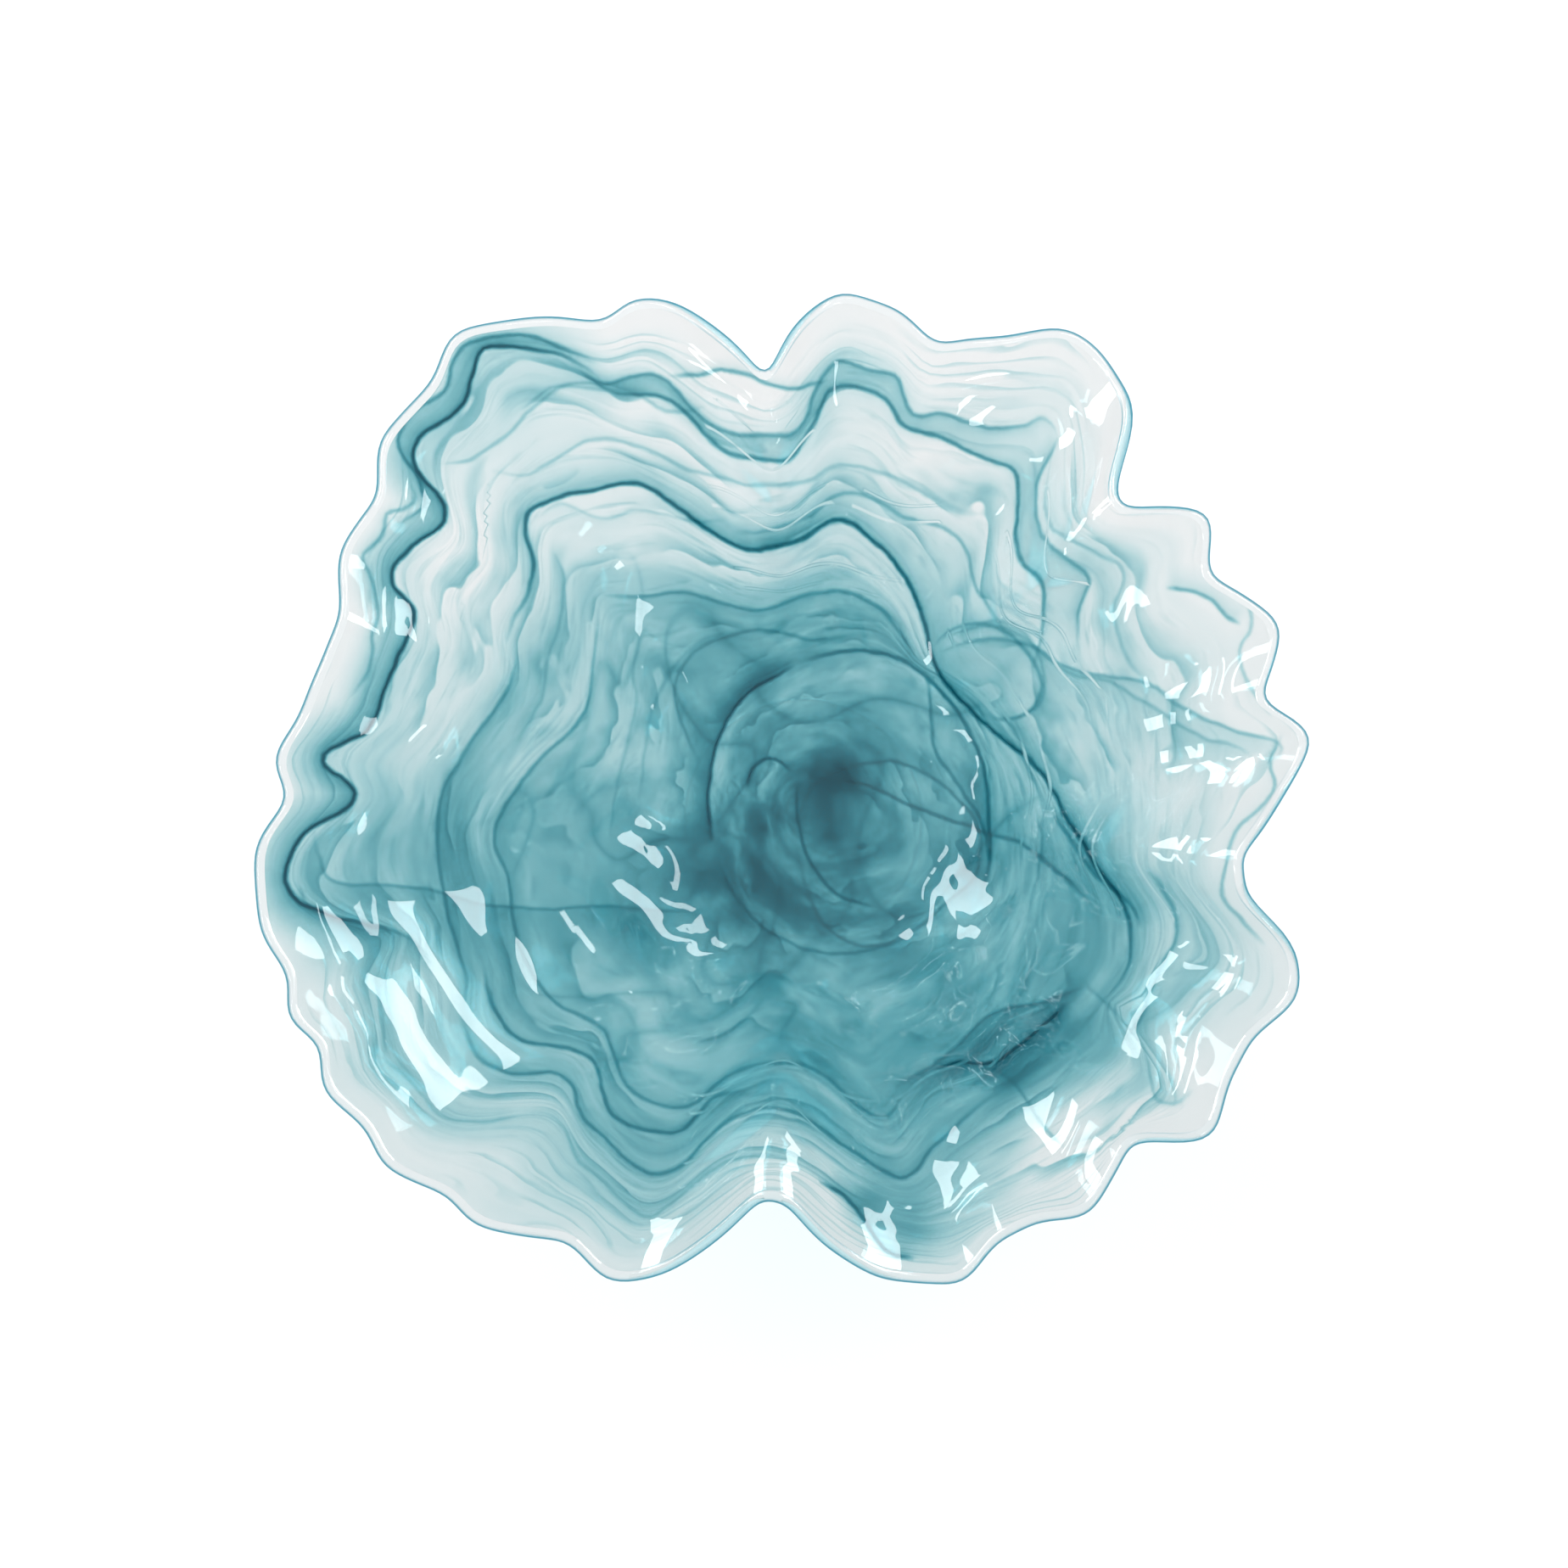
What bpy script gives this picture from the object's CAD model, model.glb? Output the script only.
# %% [markdown]
# # A blown art glass bowl
#
# The bowl is one heavy piece of hot-worked glass. From the inside out its wall is a clear inner gather, a
# thin layer of teal colour, and a clear casing. The colour was wound on as trails and veils and then pulled
# and swung, so it lies in rings that wander like the lines in agate. A fire-polished lip closes the layers
# at the rim.
#
# This file keeps those layers as separate pieces that fit face to face. Light then passes through them as it
# does through the glass: it bends only where glass meets air, and takes its colour only in the colour layer.

import math

import bmesh
import bpy
import numpy as np
from mathutils import Matrix, Vector


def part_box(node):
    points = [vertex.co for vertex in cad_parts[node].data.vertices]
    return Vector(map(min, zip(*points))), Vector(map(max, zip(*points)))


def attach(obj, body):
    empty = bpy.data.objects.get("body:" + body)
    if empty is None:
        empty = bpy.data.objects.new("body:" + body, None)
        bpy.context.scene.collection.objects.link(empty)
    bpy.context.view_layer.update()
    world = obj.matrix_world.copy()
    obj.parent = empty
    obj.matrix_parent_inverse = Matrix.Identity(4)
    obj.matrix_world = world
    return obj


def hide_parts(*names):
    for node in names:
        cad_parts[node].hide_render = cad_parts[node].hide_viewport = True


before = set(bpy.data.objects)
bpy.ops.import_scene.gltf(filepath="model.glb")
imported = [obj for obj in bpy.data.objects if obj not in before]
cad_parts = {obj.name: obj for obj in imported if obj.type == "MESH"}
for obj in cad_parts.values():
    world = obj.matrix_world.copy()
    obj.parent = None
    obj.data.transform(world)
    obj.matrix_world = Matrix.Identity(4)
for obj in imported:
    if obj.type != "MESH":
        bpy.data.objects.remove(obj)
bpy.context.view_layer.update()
MM = 0.001
print("nodes", sorted(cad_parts))

# %% [markdown]
# ## The wall as one formula
#
# Every layer follows the same wavy wall, so the wall is worked out once. A smooth section gives the mean
# shape of the bowl. The rim's outline gives how far each bearing leans out or in, and that lean fades and
# softens on the way down, as it does in hot glass, which only the rim's edge was free to fold.
#
# The result is a net of points that a cubic spline follows, in two parts: where the inner face lies, and how
# the wall's thickness runs from there. Any depth in the wall is then the first plus a share of the second.

# %% The wall's driving sizes
FOOT_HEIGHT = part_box("foot_pad")[1].z / MM
FOOT_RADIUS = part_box("foot_pad")[1].x / MM
FLOOR_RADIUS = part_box("core_pool")[1].x / MM
FLOOR_THICKNESS = 9.0
RIM_THICKNESS = 5.2
FOLD_LIFT = 0.45
SCALLOP_SLOPE = 0.35
GATHER_SHARE = 0.42  # the colour layer lies between these two shares of the wall's thickness
CASING_SHARE = 0.58
WALL_SECTION = [(FLOOR_RADIUS, 0), (78, 0), (108, 34), (136, 82), (168, 87), (194, 95)]

# The rim's outline: bearing in degrees from +X, and reach in mm from the axis.
RIM = [
    (0, 184), (7, 200), (12, 180), (20, 198), (29, 178), (35, 194), (42, 166), (46, 170), (50, 200),
    (57, 212), (61, 213), (66, 198), (74, 184), (79, 195), (86, 200), (91, 184), (95, 161), (100, 182),
    (105, 202), (109, 209), (113, 203), (118, 216), (127, 233), (131, 221), (140, 219), (144, 205),
    (152, 206), (158, 194), (164, 195), (171, 199), (176, 208), (180, 200), (185, 215), (194, 218),
    (199, 211), (203, 219), (207, 210), (211, 219), (217, 212), (221, 217), (228, 206), (232, 209),
    (242, 193), (248, 202), (253, 192), (258, 174), (263, 155), (268, 156), (273, 172), (279, 187),
    (288, 197), (293, 186), (299, 186), (304, 195), (309, 188), (314, 182), (320, 206), (326, 197),
    (332, 196), (338, 207), (343, 198), (346, 175), (352, 169), (360, 184),
]  # fmt: skip
NET_COLUMNS = 240
NET_ROWS = 21
SPANS = NET_ROWS - 3
print("foot", round(FOOT_RADIUS, 1), "x", round(FOOT_HEIGHT, 1), "floor", round(FLOOR_RADIUS, 1))

# %% The net of points that the wall follows


def relax(values, passes):
    """Evens out a ring of values, as hot glass evens out a crease."""
    for _ in range(passes):
        values = (np.roll(values, 1) + 2 * values + np.roll(values, -1)) / 4
    return values


def section_point(level):
    """Distance from the axis and height above the inner floor, at a level from 0, the floor, to 1, the rim."""
    points = np.array(WALL_SECTION, float)
    while len(points) > 1:
        points = points[:-1] * (1 - level) + points[1:] * level
    return points[0]


def wall_net():
    """The net of the inner face, and the net of vectors through the wall's thickness."""
    bearings = np.arange(NET_COLUMNS) * 360 / NET_COLUMNS
    reach = relax(np.interp(bearings, *zip(*RIM)), 1)
    lean = reach - reach.mean()
    turn = np.radians(bearings)
    inner = np.zeros((NET_ROWS, NET_COLUMNS, 3))
    for row in range(NET_ROWS - 1, -1, -1):
        level = row / (NET_ROWS - 1)
        radius, rise = section_point(level)
        ease = min(1.0, max(0.0, (level - 0.06) / 0.80))
        share = ease * ease * (3 - 2 * ease)
        folds = relax(lean, 8)
        out = radius + share * lean
        lift = share * (SCALLOP_SLOPE * (lean - folds) - FOLD_LIFT * folds)
        inner[row, :, 0] = out * np.cos(turn)
        inner[row, :, 1] = out * np.sin(turn)
        inner[row, :, 2] = FOOT_HEIGHT + FLOOR_THICKNESS + rise + lift
        lean = relax(lean, 1)
    below = inner[[0, *range(NET_ROWS - 1)]]
    above = inner[[*range(1, NET_ROWS), NET_ROWS - 1]]
    along = np.roll(inner, -3, axis=1) - np.roll(inner, 3, axis=1)
    through = np.cross(along, above - below)
    through /= np.linalg.norm(through, axis=2, keepdims=True)
    through[0] = (0, 0, -1)
    level = np.arange(NET_ROWS) / (NET_ROWS - 1)
    thick = FLOOR_THICKNESS + (RIM_THICKNESS - FLOOR_THICKNESS) * np.sqrt(level)
    return inner, through * thick[:, None, None]


INNER_NET, THROUGH_NET = wall_net()
RIM_HEIGHTS = INNER_NET[-1, :, 2]
print("net", INNER_NET.shape, "rim height", RIM_HEIGHTS.min().round(1), RIM_HEIGHTS.max().round(1))

# %% [markdown]
# Cubic B-spline weights turn the net into a smooth surface. All points on one bearing share their weights
# across, and all points on one span share their weights up, so each set is worked out once and then
# combined.

# %% Any point of the wall from its bearing, span and depth


def cubic_weights(x, last=None):
    """The first of the four net points that matter at x, and their weights. last ends a clamped net."""
    start = np.floor(x).astype(int)
    if last is not None:
        start = np.clip(start, 0, last - 1)

    def knot(k):
        return k if last is None else np.clip(k, 0, last)

    left = [x - knot(start + 1 - j) for j in range(4)]
    right = [knot(start + j) - x for j in range(4)]
    weights = [np.ones_like(x)]
    for j in range(1, 4):
        saved = 0
        row = []
        for r in range(j):
            part = weights[r] / (right[r + 1] + left[j - r])
            row.append(saved + right[r + 1] * part)
            saved = left[j - r] * part
        weights = [*row, saved]
    return start, weights


def spline_rows(x, count, last=None):
    """One row of net weights for each value of x."""
    start, weights = cubic_weights(x, last)
    rows = np.zeros((len(x), count))
    for i in range(4):
        np.add.at(rows, (np.arange(len(x)), (start + i) % count), weights[i])
    return rows


def on_net(net, turn, span, last):
    """Points of the smooth surface that follows a net, at a turn in radians and a span."""
    columns, at_column = np.unique((np.degrees(turn) % 360).round(4), return_inverse=True)
    spans, at_span = np.unique(span.round(5), return_inverse=True)
    across = spline_rows(columns * NET_COLUMNS / 360 - 1, NET_COLUMNS)
    up = spline_rows(spans, len(net), last)
    grid = np.einsum("ci,sj,jik->csk", across, up, net, optimize=True)
    return grid[at_column, at_span]


def in_wall(turn, span, depth):
    """Points in the wall in mm. Spans below 0 lie on the flat floor, down to -1 at its centre."""
    on_wall = np.clip(span, 0, SPANS)
    inner = on_net(INNER_NET, turn, on_wall, SPANS)
    through = on_net(THROUGH_NET, turn, on_wall, SPANS)
    points = inner + through * depth[:, None]
    share = np.clip(span + 1, 0, 1)
    points[:, :2] *= share[:, None]
    return points


check = in_wall(np.array([0.0]), np.array([float(SPANS)]), np.array([0.0]))[0]
print("inner edge of the rim at bearing 0", check.round(2))

# %% [markdown]
# ## A blank for each layer
#
# On the bench each layer is first a plain round blank. Here a blank is spun from the outline of its section:
# a point's distance from the axis counts spans of the wall, and its height is its depth in the wall. The
# spin closes the ring, and the flat blank is then laid in the wall by the formula above.
#
# Faces that meet the air are kept apart from seams, where one layer is fused to the next, because light does
# nothing at a seam.

# %% Spin a blank and lay it in the wall
COLUMNS = 480
SECTOR = 15  # columns spun at once; the rest are turned copies of these
SEAM = 0.012  # each layer stops this share of the wall's thickness short of the next
AIR, FUSED = 0, 1


def runs(start, end, steps):
    """Evenly spaced values from start to end, without the end."""
    return [start + (end - start) * i / steps for i in range(steps)]


def spun_blank(outline):
    """A closed ring or disc spun from the outline of a section, as (distance from the axis, height)."""
    bm = bmesh.new()
    corners = [bm.verts.new((out, 0, up)) for out, up in outline]
    edges = [bm.edges.new(pair) for pair in zip(corners, corners[1:] + corners[:1])]
    angle = math.tau * SECTOR / COLUMNS
    bmesh.ops.spin(bm, geom=corners + edges, cent=(0, 0, 0), axis=(0, 0, 1), angle=angle, steps=SECTOR)
    while angle < math.tau - 1e-6:
        copy = bmesh.ops.duplicate(bm, geom=bm.verts[:] + bm.edges[:] + bm.faces[:])["geom"]
        turned = [v for v in copy if isinstance(v, bmesh.types.BMVert)]
        bmesh.ops.rotate(bm, verts=turned, cent=(0, 0, 0), matrix=Matrix.Rotation(angle, 3, "Z"))
        angle *= 2
    bmesh.ops.remove_doubles(bm, verts=bm.verts, dist=1e-4)
    flat = [f for f in bm.faces if f.calc_area() < 1e-9]
    bmesh.ops.delete(bm, geom=flat, context="FACES")
    bmesh.ops.delete(bm, geom=[e for e in bm.edges if e.is_wire], context="EDGES")
    bmesh.ops.recalc_face_normals(bm, faces=bm.faces)
    return bm


def laid(bm, name, place, is_air):
    """Makes a piece of a blank: faces that is_air picks meet the air, and place moves the points."""
    for face in bm.faces:
        centre = face.calc_center_median()
        face.smooth = True
        face.material_index = AIR if is_air(math.hypot(centre.x, centre.y), centre.z) else FUSED
    for edge in bm.edges:
        if len({f.material_index for f in edge.link_faces}) > 1:
            edge.smooth = False
    mesh = bpy.data.meshes.new(name)
    bm.to_mesh(mesh)
    bm.free()
    flat = np.empty(len(mesh.vertices) * 3, np.float32)
    mesh.vertices.foreach_get("co", flat)
    points = flat.reshape(-1, 3).astype(float)
    turn = np.arctan2(points[:, 1], points[:, 0])
    placed = place(turn, np.hypot(points[:, 0], points[:, 1]), points[:, 2]) * MM
    mesh.vertices.foreach_set("co", placed.astype(np.float32).ravel())
    mesh.update()
    piece = bpy.data.objects.new(name, mesh)
    bpy.context.scene.collection.objects.link(piece)
    print(name, len(mesh.polygons), "faces")
    return piece


# %% [markdown]
# ## The clear layers, the lip and the foot
#
# Hot glass that has been blocked, jacked and swung is never quite smooth. Long, shallow tool marks stand in
# or out of both air sides, and they break the reflection of a window into slivers. A soft ridge is added
# just inside the lip, such as folding the edge can leave. The marks stay clear of the seams, so the layers
# still fit.

# %% The two clear layers of the wall
WALL_ROWS = 3  # faces to each span of the wall
FLOOR_ROWS = 10  # faces from the middle of the floor to its edge
FOLD_RIDGE = -0.45  # mm: the soft ridge just inside the lip
RIPPLE = 0.9  # mm: how far the tool marks stand in or out of each air side


def ripple(turn, out, seed):
    """The soft tool marks of a hand-worked surface, from -1 to 1 or so."""
    swell = np.sin(5 * turn + 1.1 * out + seed + 1.3 * np.sin(3 * turn + seed))
    ring = np.sin(1.7 * out + 2.2 * np.sin(4 * turn + seed) + 1.1 * np.sin(9 * turn) + seed)
    dimple = np.sin(23 * turn + 2.6 * np.sin(1.3 * out + seed) + 2 * np.sin(7 * turn + seed))
    near_rim = np.clip((out - 14) / 3, 0, 1)
    frill = np.sin(71 * turn + 3 * np.sin(5 * turn)) * np.clip(np.sin(9 * turn + 1), 0, 1) * near_rim
    return 0.45 * swell + 0.35 * ring + 0.2 * dimple + 0.25 * frill


def wall_layer(name, inside, outside, air_depth):
    """A layer of the wall from the middle of the floor to the rim, between two depths."""
    spans = runs(0, 1, FLOOR_ROWS) + runs(1, 1 + SPANS, SPANS * WALL_ROWS) + [1 + SPANS]
    outline = [(s, -inside) for s in spans] + [(s, -outside) for s in reversed(spans)]

    def place(turn, out, height):
        depth = -height
        air = np.abs(depth - air_depth) < 1e-4
        fade = np.clip(SPANS + 1 - out, 0, 1.5) / 1.5 * np.clip(out - 0.5, 0, 2) / 2
        marks = ripple(turn, out, 7 * air_depth + 3) * RIPPLE * fade
        fold = SPANS - 0.5 + 0.35 * np.sin(7 * turn + 2 * air_depth) + 0.2 * np.sin(17 * turn)
        marks = (marks + FOLD_RIDGE * np.exp(-(((out - fold) / 0.22) ** 2))) * air / RIM_THICKNESS
        return in_wall(turn, out - 1, depth + marks)

    def is_air(out, height):
        at_foot = air_depth > 0 and out < (FOOT_RADIUS - 1.5) / FLOOR_RADIUS
        return abs(-height - air_depth) < 1e-4 and not at_foot

    return laid(spun_blank(outline), name, place, is_air)


gather = wall_layer("inner_gather_glass", 0.0, GATHER_SHARE - SEAM, 0.0)
casing = wall_layer("casing_glass", CASING_SHARE + SEAM, 1.0, 1.0)
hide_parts("inner_gather")
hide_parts("clear_casing")

# %% [markdown]
# The lip is a bead that closes the edges of all three layers. Its section is a small spline from the wall's
# inner face round to its outer face, held to the rim's own direction at each bearing, as fire polishing
# leaves it.

# %% The lip
# Each point of the bead: how far it stands out from the rim, how far it swells, and its place across the wall
BEAD = [(0, 0, 0), (0.35, 1, 0), (0.85, 0.7, 0), (1.2, 0, 0.5), (0.85, 0.7, 1), (0.35, 1, 1), (0, 0, 1)]
LIP_OVERHANG = 3.4
LIP_SWELL = 0.5


def bead_net():
    """The net of the rounded bead that closes the wall's edge, from its inner to its outer face."""
    rim = INNER_NET[-1]
    ahead = rim - INNER_NET[-2]
    ahead /= np.linalg.norm(ahead, axis=1, keepdims=True)
    through = THROUGH_NET[-1] / np.linalg.norm(THROUGH_NET[-1], axis=1, keepdims=True)
    net = []
    for out, swell, across in BEAD:
        side = -1 if across < 0.5 else 1
        base = rim + THROUGH_NET[-1] * across
        net.append(base + ahead * out * LIP_OVERHANG + through * side * swell * LIP_SWELL)
    return np.array(net)


BEAD_NET = bead_net()
BEAD_SPANS = len(BEAD) - 3


def lip_piece():
    """The bead, closed by a strip across the wall's edge, which the layers butt against."""
    steps = 4 * BEAD_SPANS
    outline = [(1 + s, 0) for s in runs(0, BEAD_SPANS, steps)] + [(1 + BEAD_SPANS, 0)]
    outline += [(1 + BEAD_SPANS * 0.5, -1)]  # the seam's own point, out of the bead's line

    def place(turn, out, side):
        points = on_net(BEAD_NET, turn, np.clip(out - 1, 0, BEAD_SPANS), BEAD_SPANS)
        inner = on_net(BEAD_NET, turn, np.zeros_like(turn), BEAD_SPANS)
        outer = on_net(BEAD_NET, turn, np.full_like(turn, BEAD_SPANS), BEAD_SPANS)
        seam = side < -0.5
        points[seam] = ((inner + outer) / 2)[seam]
        return points

    return laid(spun_blank(outline), "lip_glass", place, lambda out, side: side > -0.1)


lip = lip_piece()
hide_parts("lip_bead")

# %% [markdown]
# The foot is a plain disc. A cold worker grinds it flat so that the bowl stands still, and eases its edge.

# %% The foot


def foot_piece():
    """A flat disc with a rounded lower edge, its top fused under the floor."""
    edge = 2.0  # mm: the radius of the lower edge
    rows = [(0, 0), (8, 0), (FOOT_RADIUS - edge - 6, 0), (FOOT_RADIUS - edge - 1, 0)]
    turns = runs(0, math.pi / 2, 6)
    arc = [(FOOT_RADIUS - edge + edge * math.sin(a), edge - edge * math.cos(a)) for a in turns]
    side = [(FOOT_RADIUS, edge), (FOOT_RADIUS - 0.75, (edge + FOOT_HEIGHT) / 2)]
    top = [(FOOT_RADIUS - 1.5, FOOT_HEIGHT), (FOOT_RADIUS - 10, FOOT_HEIGHT), (0, FOOT_HEIGHT)]
    bm = spun_blank(rows + arc + side + top)

    def place(turn, out, up):
        return np.stack([out * np.cos(turn), out * np.sin(turn), up], axis=1)

    return laid(bm, "foot_glass", place, lambda out, up: up < FOOT_HEIGHT - 0.01)


foot = foot_piece()
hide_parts("foot_pad")

# %% [markdown]
# ## The colour
#
# The glass maker lays trails of dark colour on the hot gather and lets them sag, swing and smear. So the
# colour is drawn here as trails and the paler flow between them. Each trail is a line on the wall, seen in
# plan. It has one crisp edge with a thin dark line, and it fades away on its other side.

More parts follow.
